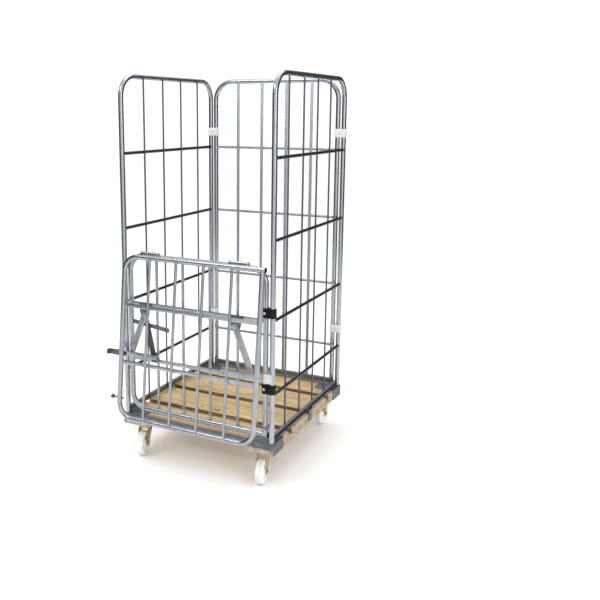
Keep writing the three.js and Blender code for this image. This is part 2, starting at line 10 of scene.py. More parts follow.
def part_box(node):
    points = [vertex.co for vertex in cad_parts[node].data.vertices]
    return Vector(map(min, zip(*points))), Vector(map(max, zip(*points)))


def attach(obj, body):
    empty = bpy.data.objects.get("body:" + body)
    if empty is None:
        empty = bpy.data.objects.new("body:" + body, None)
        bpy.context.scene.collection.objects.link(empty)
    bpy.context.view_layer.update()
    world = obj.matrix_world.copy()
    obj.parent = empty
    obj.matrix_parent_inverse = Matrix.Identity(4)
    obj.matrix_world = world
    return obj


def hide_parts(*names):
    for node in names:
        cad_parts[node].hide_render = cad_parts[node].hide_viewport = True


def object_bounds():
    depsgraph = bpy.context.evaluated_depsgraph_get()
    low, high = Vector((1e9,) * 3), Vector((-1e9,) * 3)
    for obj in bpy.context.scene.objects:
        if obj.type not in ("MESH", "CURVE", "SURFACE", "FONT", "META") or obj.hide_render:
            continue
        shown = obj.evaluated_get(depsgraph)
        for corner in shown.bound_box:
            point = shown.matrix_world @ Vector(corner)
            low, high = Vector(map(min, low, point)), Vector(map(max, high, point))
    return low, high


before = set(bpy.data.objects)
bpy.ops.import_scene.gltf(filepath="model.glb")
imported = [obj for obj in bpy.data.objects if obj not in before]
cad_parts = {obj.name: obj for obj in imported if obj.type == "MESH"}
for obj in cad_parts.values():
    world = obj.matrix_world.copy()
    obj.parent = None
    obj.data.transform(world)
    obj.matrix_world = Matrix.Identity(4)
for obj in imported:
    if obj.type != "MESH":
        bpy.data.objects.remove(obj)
cad_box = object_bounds()

# The pieces are drawn in millimetres round the middle of the front uprights, as the real cage is set out,
# and then moved to where the frame has that point.
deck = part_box("deck_board_2")
rail_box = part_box("front_rail")
MID_X = (deck[0].x + deck[1].x) / 2
FRONT_Y = rail_box[0].y + 0.014
TO_ROW = Matrix.Translation((MID_X, FRONT_Y, 0)) @ Matrix.Scale(0.001, 4)

POST = 318.5  # middle of the gate to the centre of its end tubes, and the same for the back wall
SIDE = 347.5  # middle to the plane of a side wall
DEPTH = 754.0  # front uprights to rear uprights
TOP = 1637.5  # floor to the centre of the top tubes
FOOT = 190.3
TUBE = 11.0
BORE = 9.4
WIRE_RADIUS = 3.8
ROWS = (389, 692, 1008, 1322)  # the four cross rods of a wall
HINGE_Z = 914.5
LOWER_Z = 898  # the lower half's tube beside the hinge
LOWER_HEIGHT = 675
UPPER_HEIGHT = 688
RAIL_DROPS = (207, 450)  # from a half's hinge-side tube to its flat rails
LEAN = math.radians(6.2)
FOLDED = Matrix.Translation((0, -16.5, HINGE_Z)) @ Matrix.Rotation(-LEAN, 4, "X")


# Shapes


class Shape:
    """A mesh in millimetres, built from tubes, rods, boxes, plates and turned solids."""

    def __init__(self):
        self.bm = bmesh.new()
        self.slot = 0

    def _add(self, part, matrix=None):
        if matrix is not None:
            part.transform(matrix)
        for face in part.faces:
            face.material_index = self.slot
        mesh = bpy.data.meshes.new("part")
        part.to_mesh(mesh)
        part.free()
        self.bm.from_mesh(mesh)
        bpy.data.meshes.remove(mesh)
        return self

    def sweep(self, points, radius, normal, bore=0.0, sides=28):
        """A round tube along flat bends. The ends are open if it has a bore."""
        part = bmesh.new()
        points = [Vector(p) for p in points]
        normal = Vector(normal).normalized()
        radii = (radius, bore) if bore else (radius,)
        shells = []
        for r in radii:
            rings = []
            for i, p in enumerate(points):
                before = points[max(i - 1, 0)]
                after = points[min(i + 1, len(points) - 1)]
                tangent = (after - before).normalized()
                across = tangent.cross(normal).normalized()
                ring = []
                for k in range(sides):
                    a = 2 * math.pi * k / sides
                    ring.append(part.verts.new(p + r * (math.cos(a) * normal + math.sin(a) * across)))
                rings.append(ring)
            for low, high in zip(rings, rings[1:]):
                for k in range(sides):
                    n = (k + 1) % sides
                    quad = (low[k], low[n], high[n], high[k])
                    part.faces.new(quad if r == radius else quad[::-1])
            shells.append(rings)
        for end in (0, -1):
            outer = shells[0][end]
            if bore:
                inner = shells[1][end]
                for k in range(sides):
                    n = (k + 1) % sides
                    quad = (outer[n], outer[k], inner[k], inner[n])
                    part.faces.new(quad if end == 0 else quad[::-1])
            else:
                part.faces.new(outer[::-1] if end == 0 else outer)
        bmesh.ops.recalc_face_normals(part, faces=part.faces[:])
        return self._add(part)

    def turn(self, profile, start, axis, sides=32, matrix=None):
        """A solid turned round an axis, from (radius, distance along the axis) pairs."""
        part = bmesh.new()
        rings = []
        for r, t in profile:
            if r < 1e-6:
                rings.append([part.verts.new((0, 0, t))])
            else:
                angles = [2 * math.pi * k / sides for k in range(sides)]
                rings.append([part.verts.new((r * math.cos(a), r * math.sin(a), t)) for a in angles])
        pairs = list(zip(rings, rings[1:]))
        if len(rings[0]) > 1:
            pairs.append((rings[-1], rings[0]))
        for a, b in pairs:
            for k in range(sides):
                n = (k + 1) % sides
                corners = []
                for v in (a[k % len(a)], a[n % len(a)], b[n % len(b)], b[k % len(b)]):
                    if v not in corners:
                        corners.append(v)
                if len(corners) > 2:
                    part.faces.new(corners)
        bmesh.ops.recalc_face_normals(part, faces=part.faces[:])
        way = Vector((0, 0, 1)).rotation_difference(Vector(axis)).to_matrix().to_4x4()
        place = Matrix.Translation(Vector(start)) @ way
        return self._add(part, place if matrix is None else matrix @ place)

    def rod(self, a, b, radius, sides=20, edge=0.5, matrix=None):
        a, b = Vector(a), Vector(b)
        length = (b - a).length
        profile = [(0, 0), (radius - edge, 0), (radius, edge), (radius, length - edge)]
        profile += [(radius - edge, length), (0, length)]
        return self.turn(profile, a, b - a, sides, matrix)

    def box(self, low, high, edge=0.5, steps=2, matrix=None):
        part = bmesh.new()
        bmesh.ops.create_cube(part, size=1)
        low, high = Vector(low), Vector(high)
        size = high - low
        part.transform(Matrix.Translation((low + high) / 2) @ Matrix.Diagonal((*size, 1)))
        if edge:
            kind = {"offset": edge, "segments": steps, "affect": "EDGES", "profile": 0.5}
            bmesh.ops.bevel(part, geom=part.edges[:], **kind)
        return self._add(part, matrix)

    def plate(self, outline, holes, thickness, matrix, edge=0.5):
        """A flat plate in the local XY plane, from Z = 0 to its thickness, with bevelled rims."""
        part = bmesh.new()
        for loop in (outline, *holes):
            verts = [part.verts.new((x, y, 0)) for x, y in loop]
            for v, w in zip(verts, verts[1:] + verts[:1]):
                part.edges.new((v, w))
        bmesh.ops.triangle_fill(part, edges=part.edges[:], use_beauty=True, normal=(0, 0, 1))
        made = bmesh.ops.extrude_face_region(part, geom=part.faces[:] + part.edges[:] + part.verts[:])
        lifted = [v for v in made["geom"] if isinstance(v, bmesh.types.BMVert)]
        bmesh.ops.translate(part, verts=lifted, vec=(0, 0, thickness))
        bmesh.ops.recalc_face_normals(part, faces=part.faces[:])
        part.normal_update()
        rims = [
            e
            for e in part.edges
            if len(e.link_faces) == 2
            and abs(e.link_faces[0].normal.z - e.link_faces[1].normal.z) > 0.5
        ]
        if edge:
            bmesh.ops.bevel(part, geom=rims, offset=edge, segments=2, affect="EDGES", profile=0.5)
        return self._add(part, matrix)

    def loft(self, sections):
        """Joins equal closed sections, each a list of points, with caps on the first and last."""
        part = bmesh.new()
        rings = [[part.verts.new(p) for p in section] for section in sections]
        for a, b in zip(rings, rings[1:]):
            for k in range(len(a)):
                n = (k + 1) % len(a)
                part.faces.new((a[k], a[n], b[n], b[k]))
        part.faces.new(rings[0][::-1])
        part.faces.new(rings[-1])
        bmesh.ops.recalc_face_normals(part, faces=part.faces[:])
        return self._add(part)

    def moved(self, matrix):
        self.bm.transform(matrix)
        if matrix.determinant() < 0:
            bmesh.ops.reverse_faces(self.bm, faces=self.bm.faces[:])
        return self

    def piece(self, name, materials, body, smooth=40):
        """The finished object, standing for the CAD node of the same name and riding on its body."""
        self.bm.transform(TO_ROW)
        mesh = bpy.data.meshes.new(name + "_look")
        self.bm.to_mesh(mesh)
        self.bm.free()
        for material in materials:
            mesh.materials.append(material)
        for polygon in mesh.polygons:
            polygon.use_smooth = True
        mesh.set_sharp_from_angle(angle=math.radians(smooth))
        obj = bpy.data.objects.new(name + "_look", mesh)
        bpy.context.scene.collection.objects.link(obj)
        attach(obj, body)
        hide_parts(name)
        return obj


def bent(corners, radius, steps=14):
    """Points along straight runs joined by arcs."""
    corners = [Vector(c) for c in corners]
    path = [corners[0]]
    for before, corner, after in zip(corners, corners[1:], corners[2:]):
        into = (corner - before).normalized()
        out = (after - corner).normalized()
        centre = corner - into * radius + out * radius
        for k in range(steps + 1):
            a = math.pi / 2 * k / steps
            path.append(centre - out * radius * math.cos(a) + into * radius * math.sin(a))
    path.append(corners[-1])
    return path


def circle(x, y, radius, sides=24):
    angles = [2 * math.pi * k / sides for k in range(sides)]
    return [(x + radius * math.cos(a), y + radius * math.sin(a)) for a in angles]


def rounded(outline, radius, steps=5):
    """The outline with each corner rounded, where radius is one number or one for each corner."""
    count = len(outline)
    radii = radius if isinstance(radius, (list, tuple)) else [radius] * count
    points = []
    for k in range(count):
        before, here, after = (Vector(outline[(k + d) % count]) for d in (-1, 0, 1))
        into, out = (here - before).normalized(), (after - here).normalized()
        turn = into.angle(out)
        if turn < 0.02 or radii[k] <= 0:
            points.append(tuple(here))
            continue
        most = 0.45 * min((here - before).length, (after - here).length)
        reach = min(radii[k] * math.tan(turn / 2), most)
        a, b = here - into * reach, here + out * reach
        for s in range(steps + 1):
            f = s / steps
            points.append(tuple((1 - f) ** 2 * a + 2 * f * (1 - f) * here + f * f * b))
    return points


def upright(back):
    """Takes a plate's XY plane to the upright plane XZ, its thickness towards +Y from back."""
    return Matrix(((1, 0, 0, 0), (0, 0, 1, back), (0, 1, 0, 0), (0, 0, 0, 1)))


# Materials


def material(name):
    made = bpy.data.materials.new(name)
    made.use_nodes = True
    tree = made.node_tree
    return made, tree, tree.nodes["Principled BSDF"]


def node(tree, kind, **settings):
    made = tree.nodes.new(kind)
    for key, value in settings.items():
        if key in made.inputs:
            made.inputs[key].default_value = value
        else:
            setattr(made, key, value)
    return made


def ramp(tree, source, stops):
    made = tree.nodes.new("ShaderNodeValToRGB")
    while len(made.color_ramp.elements) < len(stops):
        made.color_ramp.elements.new(0.5)
    for element, (place, colour) in zip(made.color_ramp.elements, stops):
        element.position = place
        element.color = (*colour, 1) if len(colour) == 3 else (colour[0],) * 3 + (1,)
    tree.links.new(source, made.inputs["Fac"])
    return made.outputs["Color"]


def mix(tree, factor, a, b, mode="MIX"):
    made = tree.nodes.new("ShaderNodeMix")
    made.data_type = "RGBA"
    made.blend_type = mode
    for socket, value in ((made.inputs[0], factor), (made.inputs[6], a), (made.inputs[7], b)):
        if isinstance(value, bpy.types.NodeSocket):
            tree.links.new(value, socket)
        elif isinstance(value, (int, float)):
            socket.default_value = value
        else:
            socket.default_value = (*value, 1)
    return made.outputs[2]


def bump(tree, height, strength, distance):
    made = node(tree, "ShaderNodeBump", Strength=strength, Distance=distance)
    tree.links.new(height, made.inputs["Height"])
    return made.outputs["Normal"]


def coordinates(tree, stretch=(1, 1, 1), turn=(0, 0, 0), shift=(0, 0, 0)):
    texture = tree.nodes.new("ShaderNodeTexCoord")
    mapping = tree.nodes.new("ShaderNodeMapping")
    mapping.inputs["Scale"].default_value = stretch
    mapping.inputs["Rotation"].default_value = turn
    mapping.inputs["Location"].default_value = shift
    tree.links.new(texture.outputs["Object"], mapping.inputs["Vector"])
    return mapping.outputs["Vector"]


def textured(tree, kind, vector, output, **settings):
    made = node(tree, kind, **settings)
    tree.links.new(vector, made.inputs["Vector"])
    return made.outputs[output]


def zinc(name, light, dark, rough, spangle=0.15, metal=1.0):
    """Galvanised steel: a fine spangle, cloudy patches, lighter worn edges and small scuffs."""
    made, tree, shader = material(name)
    place = coordinates(tree)
    cells = textured(tree, "ShaderNodeTexVoronoi", place, "Color", Scale=170.0)
    cloud = textured(tree, "ShaderNodeTexNoise", place, "Fac", Scale=38.0, Detail=4.0, Roughness=0.6)
    spots = textured(tree, "ShaderNodeTexNoise", place, "Fac", Scale=120.0, Detail=3.0)
    base = mix(tree, ramp(tree, cloud, [(0.32, (0,)), (0.72, (1,))]), dark, light)
    grey = ramp(tree, cells, [(0.0, (0.75,)), (1.0, (1.0,))])
    base = mix(tree, spangle, base, grey, "MULTIPLY")
    edges = tree.nodes.new("ShaderNodeNewGeometry").outputs["Pointiness"]
    worn = ramp(tree, edges, [(0.55, (0,)), (0.63, (0.5,))])
    base = mix(tree, worn, base, tuple(min(1.0, c * 1.18) for c in light))
    scuffs = ramp(tree, spots, [(0.66, (0,)), (0.76, (0.3,))])
    base = mix(tree, scuffs, base, tuple(c * 0.55 for c in dark))
    tree.links.new(base, shader.inputs["Base Color"])
    tree.links.new(
        ramp(tree, cloud, [(0.2, (rough + 0.06,)), (0.8, (rough - 0.03,))]), shader.inputs["Roughness"]
    )
    tree.links.new(bump(tree, cloud, 0.02, 0.0006), shader.inputs["Normal"])
    shader.inputs["Metallic"].default_value = metal
    return made


def yellow_zinc(name):
    """Yellow passivated zinc, with the faint green bloom of the coating."""
    made, tree, shader = material(name)
    place = coordinates(tree)
    cloud = textured(tree, "ShaderNodeTexNoise", place, "Fac", Scale=30.0, Detail=3.0, Distortion=0.6)
    fine = textured(tree, "ShaderNodeTexNoise", place, "Fac", Scale=300.0, Detail=3.0)
    stops = [(0.3, (0.26, 0.18, 0.05)), (0.46, (0.46, 0.34, 0.10)), (0.6, (0.56, 0.43, 0.16))]
    base = ramp(tree, cloud, stops + [(0.74, (0.42, 0.40, 0.16))])
    base = mix(tree, ramp(tree, fine, [(0.6, (0,)), (0.75, (0.4,))]), base, (0.24, 0.15, 0.05))
    tree.links.new(base, shader.inputs["Base Color"])
    tree.links.new(ramp(tree, cloud, [(0.2, (0.42,)), (0.8, (0.26,))]), shader.inputs["Roughness"])
    tree.links.new(bump(tree, fine, 0.15, 0.0003), shader.inputs["Normal"])
    shader.inputs["Metallic"].default_value = 0.92
    return made


def pine(name, along, seed, shade=1.0):
    """Softwood cut beside the pith: growth rings that run out along the board, knots and fine fibre."""
    made, tree, shader = material(name)
    turn = (0, 0, 0) if along == "X" else (0, 0, math.pi / 2)
    shift = (0.37 * seed, 0.11 * seed, 0.05)
    place = coordinates(tree, (1, 1, 1), turn, shift)
    knot_place = coordinates(tree, (2.6, 8.0, 8.0), turn, (0.9 * seed, 0.6 * seed, 0.3))
    knots = textured(tree, "ShaderNodeTexVoronoi", knot_place, "Distance", Scale=1.0, Randomness=1.0)
    pull = ramp(tree, knots, [(0.0, (1,)), (0.3, (0,))])
    long_place = coordinates(tree, (0.9, 9.0, 9.0), turn, shift)
    wobble = textured(tree, "ShaderNodeTexNoise", long_place, "Fac", Scale=2.2, Detail=3.0)
    wave = tree.nodes.new("ShaderNodeTexWave")
    wave.wave_type = "RINGS"
    wave.rings_direction = "X"
    wave.inputs["Scale"].default_value = 26.0
    wave.inputs["Distortion"].default_value = 0.0
    bend = tree.nodes.new("ShaderNodeVectorMath")
    bend.operation = "SCALE"
    joined = mix(tree, 0.5, wobble, pull)
    bend.inputs["Scale"].default_value = 0.075
    tree.links.new(joined, bend.inputs[0])
    moved = tree.nodes.new("ShaderNodeVectorMath")
    tree.links.new(place, moved.inputs[0])
    tree.links.new(bend.outputs[0], moved.inputs[1])
    tree.links.new(moved.outputs[0], wave.inputs["Vector"])
    fibre_place = coordinates(tree, (6.0, 420.0, 420.0), turn, shift)
    fibre = textured(tree, "ShaderNodeTexNoise", fibre_place, "Fac", Scale=1.0, Detail=4.0)
    stain_place = coordinates(tree, (1.5, 5.0, 5.0), turn, shift)
    stain = textured(tree, "ShaderNodeTexNoise", stain_place, "Fac", Scale=2.0, Detail=5.0)
    stops = [(0.0, (0.62, 0.45, 0.22)), (0.5, (0.52, 0.35, 0.15))]
    stops += [(0.86, (0.25, 0.13, 0.05)), (1.0, (0.44, 0.28, 0.11))]
    ring = ramp(tree, wave.outputs["Fac"], stops)
    base = mix(tree, ramp(tree, fibre, [(0.35, (0.0,)), (0.7, (0.35,))]), ring, (0.26, 0.17, 0.09))
    base = mix(tree, ramp(tree, stain, [(0.35, (0.0,)), (0.75, (0.5,))]), base, (0.68, 0.54, 0.31))
    base = mix(tree, ramp(tree, knots, [(0.03, (0.95,)), (0.1, (0.0,))]), base, (0.07, 0.035, 0.018))
    grime = textured(tree, "ShaderNodeTexNoise", stain_place, "Fac", Scale=5.0, Detail=6.0, Roughness=0.7)
    base = mix(tree, ramp(tree, grime, [(0.5, (0.0,)), (0.68, (0.55,))]), base, (0.20, 0.14, 0.09))
    # A shade below one darkens the whole colour. This is painted shade, used on the planks' long side faces.
    base = mix(tree, 1.0, base, (shade, shade, shade), "MULTIPLY")
    tree.links.new(base, shader.inputs["Base Color"])
    tree.links.new(ramp(tree, fibre, [(0.2, (0.5,)), (0.8, (0.72,))]), shader.inputs["Roughness"])
    tree.links.new(bump(tree, fibre, 0.35, 0.0006), shader.inputs["Normal"])
    return made


def sawn_end(name):
    """Weathered end grain: grey and pale brown, with dark checks."""
    made, tree, shader = material(name)
    cloud = textured(tree, "ShaderNodeTexNoise", coordinates(tree), "Fac", Scale=60.0, Detail=5.0)
    check_place = coordinates(tree, (40, 40, 260))
    checks = textured(tree, "ShaderNodeTexNoise", check_place, "Fac", Scale=1.0, Detail=2.0)
    base = mix(tree, ramp(tree, cloud, [(0.35, (0,)), (0.65, (1,))]), (0.30, 0.25, 0.20), (0.46, 0.40, 0.34))
    base = mix(tree, ramp(tree, checks, [(0.6, (0,)), (0.72, (0.6,))]), base, (0.10, 0.07, 0.05))
    tree.links.new(base, shader.inputs["Base Color"])
    shader.inputs["Roughness"].default_value = 0.85
    return made


def plastic(name, colour, worn, rough, grain, cloudy=0.35, gloss=0.5):
    """Moulded plastic with a fine grain, slight unevenness of shade and rubbed marks."""
    made, tree, shader = material(name)
    place = coordinates(tree)
    cloud = textured(tree, "ShaderNodeTexNoise", place, "Fac", Scale=26.0, Detail=4.0)
    marks = textured(tree, "ShaderNodeTexNoise", coordinates(tree, (1, 1, 5)), "Fac", Scale=110.0, Detail=5.0)
    pits = textured(tree, "ShaderNodeTexNoise", place, "Fac", Scale=900.0, Detail=2.0)
    base = mix(tree, ramp(tree, cloud, [(0.4, (0,)), (0.75, (cloudy,))]), colour, worn)
    base = mix(tree, ramp(tree, marks, [(0.6, (0,)), (0.78, (0.4,))]), base, worn)
    tree.links.new(base, shader.inputs["Base Color"])
    tree.links.new(ramp(tree, marks, [(0.3, (rough,)), (0.75, (rough + 0.2,))]), shader.inputs["Roughness"])
    tree.links.new(bump(tree, pits, grain, 0.0003), shader.inputs["Normal"])
    shader.inputs["Specular IOR Level"].default_value = gloss
    return made


BRIGHT = zinc("bright_zinc", (0.41, 0.43, 0.46), (0.33, 0.35, 0.38), 0.20)
TUBING = zinc("gate_tube_zinc", (0.42, 0.44, 0.46), (0.33, 0.35, 0.38), 0.22)
BAR = zinc("gate_bar_zinc", (0.36, 0.38, 0.40), (0.26, 0.28, 0.31), 0.24)
WIRE = zinc("drawn_wire_zinc", (0.13, 0.14, 0.155), (0.085, 0.09, 0.10), 0.32)
ROW = zinc("dark_wire_zinc", (0.075, 0.08, 0.09), (0.035, 0.04, 0.045), 0.40)
BACK_ROW = zinc("grey_wire_zinc", (0.30, 0.32, 0.35), (0.18, 0.20, 0.22), 0.36)
STRIP = zinc("strip_zinc", (0.36, 0.39, 0.42), (0.24, 0.26, 0.29), 0.42, 0.2, 0.7)
DULL = zinc("dull_pressed_zinc", (0.17, 0.185, 0.205), (0.09, 0.10, 0.115), 0.46, 0.3, 0.7)
# Painted shade: this zinc is darker than the other pressed parts because the brace hangs in shade behind the
# stay.
SHADE_PAINTED_ZINC = zinc("shade_painted_pressed_zinc", (0.12, 0.13, 0.14), (0.07, 0.075, 0.08), 0.46)
STAY = zinc("flat_bar_zinc", (0.43, 0.45, 0.47), (0.30, 0.32, 0.34), 0.36)
BOLT = zinc("bolt_zinc", (0.58, 0.59, 0.60), (0.40, 0.41, 0.42), 0.3)
GOLD = yellow_zinc("yellow_zinc")
NYLON = plastic("white_nylon", (0.84, 0.84, 0.83), (0.62, 0.61, 0.57), 0.34, 0.15)
CLIP = plastic("pale_clip_nylon", (0.60, 0.61, 0.62), (0.46, 0.46, 0.45), 0.3, 0.15)
TREAD = plastic("rubbed_nylon", (0.78, 0.78, 0.75), (0.48, 0.46, 0.42), 0.5, 0.4, 0.7)
BLACK = plastic("black_plastic", (0.004, 0.004, 0.0045), (0.014, 0.014, 0.015), 0.45, 0.3, 0.35, 0.18)


# Walls


def bead(shape, at, axis, radius, size):
    """A weld bead round a rod of that radius where it meets a tube."""
    profile = []
    for k in range(9):
        a = math.pi * k / 8
        profile.append((radius - 0.3 + size * math.sin(a), size * math.cos(a)))
    profile.append((radius - 1.0, -size))
    profile.append((radius - 1.0, size))
    shape.turn(profile, at, axis, 16)


def wall(width, rows_radius, flat):
    """A wall in the plane Y = 0, from X = 0 to its width, with its wires on the +Y side."""
    shape = Shape()
    corners = [(0, 0, FOOT), (0, 0, TOP), (width, 0, TOP), (width, 0, FOOT)]
    shape.slot = 0
    shape.sweep(bent(corners, 88, 20), TUBE, (0, 1, 0), BORE, 32)
    shape.slot = 1
    for z in ROWS:
        shape.rod((4, 0, z), (width - 4, 0, z), rows_radius, 18)
        for x, way in ((TUBE - 0.6, 1), (width - TUBE + 0.6, -1)):
            bead(shape, (x, 0, z), (way, 0, 0), rows_radius, 1.5)
    shape.slot = 2
    for k in range(1, 5):
        x = width * k / 5
        if flat:
            shape.box((x - 7, rows_radius - 0.9, 205), (x + 7, rows_radius + 2.9, TOP - 6), 0.7)
            shape.slot = 0
            shape.box((x - 8.5, 1.5, TOP - 9.7), (x + 8.5, 8.4, TOP - 6.3), 1.2)
            shape.slot = 2
        else:
            middle = rows_radius + WIRE_RADIUS - 1
            shape.rod((x, middle, 205), (x, middle, TOP - 6), WIRE_RADIUS, 16, 0.4)
            spot = [(0, -1.9), (1.9, -1.2), (2.6, 0), (1.9, 1.2), (0, 1.9)]
            for z in ROWS:
                shape.turn(spot, (x, rows_radius - 0.4, z), (0, 0, 1), 12)
            bead(shape, (x, middle, TOP - TUBE + 2.6), (0, 0, 1), WIRE_RADIUS, 1.0)
    shape.slot = 3
    # The foot channel: a back and two flanges with rounded bends, open on the outer side.
    inner, outer, low, high, sheet = 9.0, -6.0, 197.0, 219.0, 2.5
    run = rounded(
        [(outer, low), (inner, low), (inner, high), (outer, high), (outer, high - sheet)]
        + [(inner - sheet, high - sheet), (inner - sheet, low + sheet), (outer, low + sheet)],
        [0.6, 2.6, 2.6, 0.6, 0.6, 0.8, 0.8, 0.6],
        4,
    )
    shape.loft([[(x, y, z) for y, z in run] for x in (TUBE - 2.5, width - TUBE + 2.5)])
    if not flat:
        strap(shape, 377.0)
    return shape


def strap(shape, middle):
    """The lug in the middle of the foot channel, folded down over the side of the platform."""
    left, right = middle - 17, middle + 17
    shape.box((left, -14.5, 201), (right, 8, 215), 0.8)
    outline = rounded([(left, 150), (right, 150), (right, 215), (left, 215)], [7, 7, 1, 1])
    hole = circle(middle, 162, 3.4)
    shape.plate(outline, [hole], 3.0, upright(-14.5), 0.6)
    shape.slot = 4
    shape.turn([(0, 0), (5.2, 0), (5.2, 1.0), (3.6, 2.0), (0, 2.0)], (middle, -12.4, 162), (0, -1, 0), 20)


WALL_METALS = [BRIGHT, ROW, WIRE, DULL, BOLT]
BACK_METALS = [BRIGHT, BACK_ROW, STRIP, DULL, BOLT]

side_left = Matrix.Translation((-SIDE, DEPTH, 0)) @ Matrix.Rotation(-math.pi / 2, 4, "Z")
side_right = Matrix.Translation((SIDE, 0, 0)) @ Matrix.Rotation(math.pi / 2, 4, "Z")
back_place = Matrix.Translation((POST, DEPTH, 0)) @ Matrix.Rotation(math.pi, 4, "Z")
wall(DEPTH, 7, False).moved(side_left).piece("left_side_wall", WALL_METALS, "cage")
wall(DEPTH, 7, False).moved(side_right).piece("right_side_wall", WALL_METALS, "cage")
wall(2 * POST, 6, True).moved(back_place).piece("back_wall", BACK_METALS, "cage")


# Clips and gate hinge blocks


def pair_clip():
    """A moulded block round two upright tubes."""
    shape = Shape()
    outline = []
    for middle, start in ((0.0, 90), (29.0, -90)):
        for k in range(15):
            a = math.radians(start + 180 * k / 14)
            outline.append((middle + 15 * math.cos(a), 15 * math.sin(a)))
    holes = [circle(middle, 0, 11.42, 32)[::-1] for middle in (0, 29)]
    shape.plate(outline, holes, 38, Matrix.Translation((0, 0, -19)), 1.2)
    return shape


def clip_screw(shape, way):
    """The small screw head on a wall clip's inner face."""
    shape.slot = 1
    head = [(0, 0), (3.4, 0), (3.1, 1.0), (1.6, 1.3), (0, 1.3)]
    shape.turn(head, (14.5, way * 14.9, 0), (0, way, 0), 20)
    return shape


def spacer_clip():
    """The half clip between the gate's post and the wall's front upright, waisted by both bores."""
    lap = 3.0
    wide, bore = 15.0, 11.42
    start = math.degrees(math.acos(-lap / bore))
    left = []
    for k in range(19):
        a = math.radians(start - 2 * start * k / 18)
        left.append((bore * math.cos(a), bore * math.sin(a)))
    right = [(29 - x, -y) for x, y in left]
    edge = math.sqrt(wide ** 2 - lap ** 2)
    top = [(29 + lap, edge), (29, wide), (0, wide), (-lap, edge)]
    bottom = [(-lap, -edge), (0, -wide), (29, -wide), (29 + lap, -edge)]
    shape = Shape()
    shape.plate(top + left + bottom + right, [], 38, Matrix.Translation((0, 0, -19)), 0.8)
    return shape


def clip_place(side, depth, height):
    place = Matrix.Translation((side * POST, depth, height))
    return place if side > 0 else place @ Matrix.Rotation(math.pi, 4, "Z")


for side, sign in (("left", -1), ("right", 1)):
    for level, height in (("lower", 474), ("upper", 1397)):
        clip = clip_screw(pair_clip(), -sign).moved(clip_place(sign, DEPTH, height))
        clip.piece(f"{side}_{level}_wall_clip", [CLIP, BOLT], "cage", 50)

for level, height in (("lower", 416), ("upper", 725)):
    block = pair_clip()
    block.moved(clip_place(1, 0, height)).piece(f"{level}_gate_hinge", [BLACK], "lower_gate", 50)
    screw = Shape()
    head = [(0, 0), (2.9, 0), (2.9, 3.3), (5.5, 3.5), (5.5, 5.6)]
    head += [(4.2, 6.9), (2.0, 6.9), (1.6, 5.4), (0, 5.4)]
    screw.turn(head, (0, -11.8, 0), (0, -1, 0), 24)
    screw.moved(clip_place(1, 0, height)).piece(f"{level}_gate_hinge_screw", [BOLT], "lower_gate", 30)

spacer_clip().moved(clip_place(1, 0, 460)).piece("gate_post_clip", [CLIP], "lower_gate", 50)


# Front gate


def gate_half(shape, height, square_at_hinge, bar_side, matrix):
    """One half, hanging in the plane Y = 0 from its hinge-side tube at Z = 0."""
    half = Shape()
    start = 0 if square_at_hinge else -height
    inward = -1 if square_at_hinge else 1
    far = start + inward * height
    loop = [(POST + TUBE + 1, 0, start), (-POST, 0, start), (-POST, 0, far), (POST, 0, far)]
    loop.append((POST, 0, start + inward * 1.5))
    half.sweep(bent(loop, 65, 16), TUBE, (0, 1, 0), 0, 32)
    bead_at = (POST - TUBE + 0.8, 0, start + inward * (TUBE - 0.8))
    half.turn([(0, -6), (2.2, -4), (2.8, 0), (2.2, 4), (0, 6)], bead_at, (0, 1, 0), 12)
    bead(half, (POST, 0, start + inward * (TUBE - 0.5)), (0, 0, inward), TUBE, 1.6)
    half.slot = 1
    fillet = [(0, -7.5), (1.6, -6.5), (3.6, -5), (3.9, 0), (3.6, 5), (1.6, 6.5), (0, 7.5)]
    for drop in RAIL_DROPS:
        half.box((-POST + 3, -2.5, -drop - 8), (POST - 3, 2.5, -drop + 8), 0.9)
        for x in (-POST + TUBE - 0.4, POST - TUBE + 0.4):
            half.turn(fillet, (x, 0, -drop), (0, 0, 1), 14)
    half.slot = 2
    depth = bar_side * 7.5
    for k in range(1, 5):
        x = POST * (2 * k / 5 - 1)
        half.rod((x, depth, -3.5), (x, depth, 3.5 - height), 6, 20)
        weld = [(0, -3.4), (5.2, -2.2), (7.2, 0), (5.2, 2.2), (0, 3.4)]
        for z in (-9.0, 9.0 - height):
            half.turn(weld, (x, depth * 0.9, z), (0, 0, 1), 14)
        seam = [(0, -6), (1.5, -5), (2.3, 0), (1.5, 5), (0, 6)]
        for drop in RAIL_DROPS:
            for edge in (-5.2, 5.2):
                half.turn(seam, (x + edge, bar_side * 3.1, -drop), (0, 0, 1), 10)
    half.moved(matrix)
    mesh = bpy.data.meshes.new("half")
    half.bm.to_mesh(mesh)
    half.bm.free()
    shape.bm.from_mesh(mesh)
    bpy.data.meshes.remove(mesh)


BARRELS = (-207, 207)
GATE_METALS = [TUBING, STAY, BAR, DULL]


def pipe_profile(outer, inner, low, high, edge=0.6):
    bottom = [(inner, low), (outer - edge, low), (outer, low + edge)]
    return bottom + [(outer, high - edge), (outer - edge, high), (inner, high)]


lower = Shape()
gate_half(lower, LOWER_HEIGHT, False, 1, Matrix.Translation((0, 0, LOWER_Z)))
for centre in BARRELS:
    lower.turn(pipe_profile(7.5, 4.4, 0, 78), (centre - 39, -16.5, HINGE_Z), (1, 0, 0), 28)
    slant = Matrix.Translation((centre, -16.5, HINGE_Z)) @ Matrix.Rotation(math.pi / 4, 4, "X")
    lower.box((-30, -2.5, -17.6), (30, 2.5, -6.2), 0.8, 2, slant)
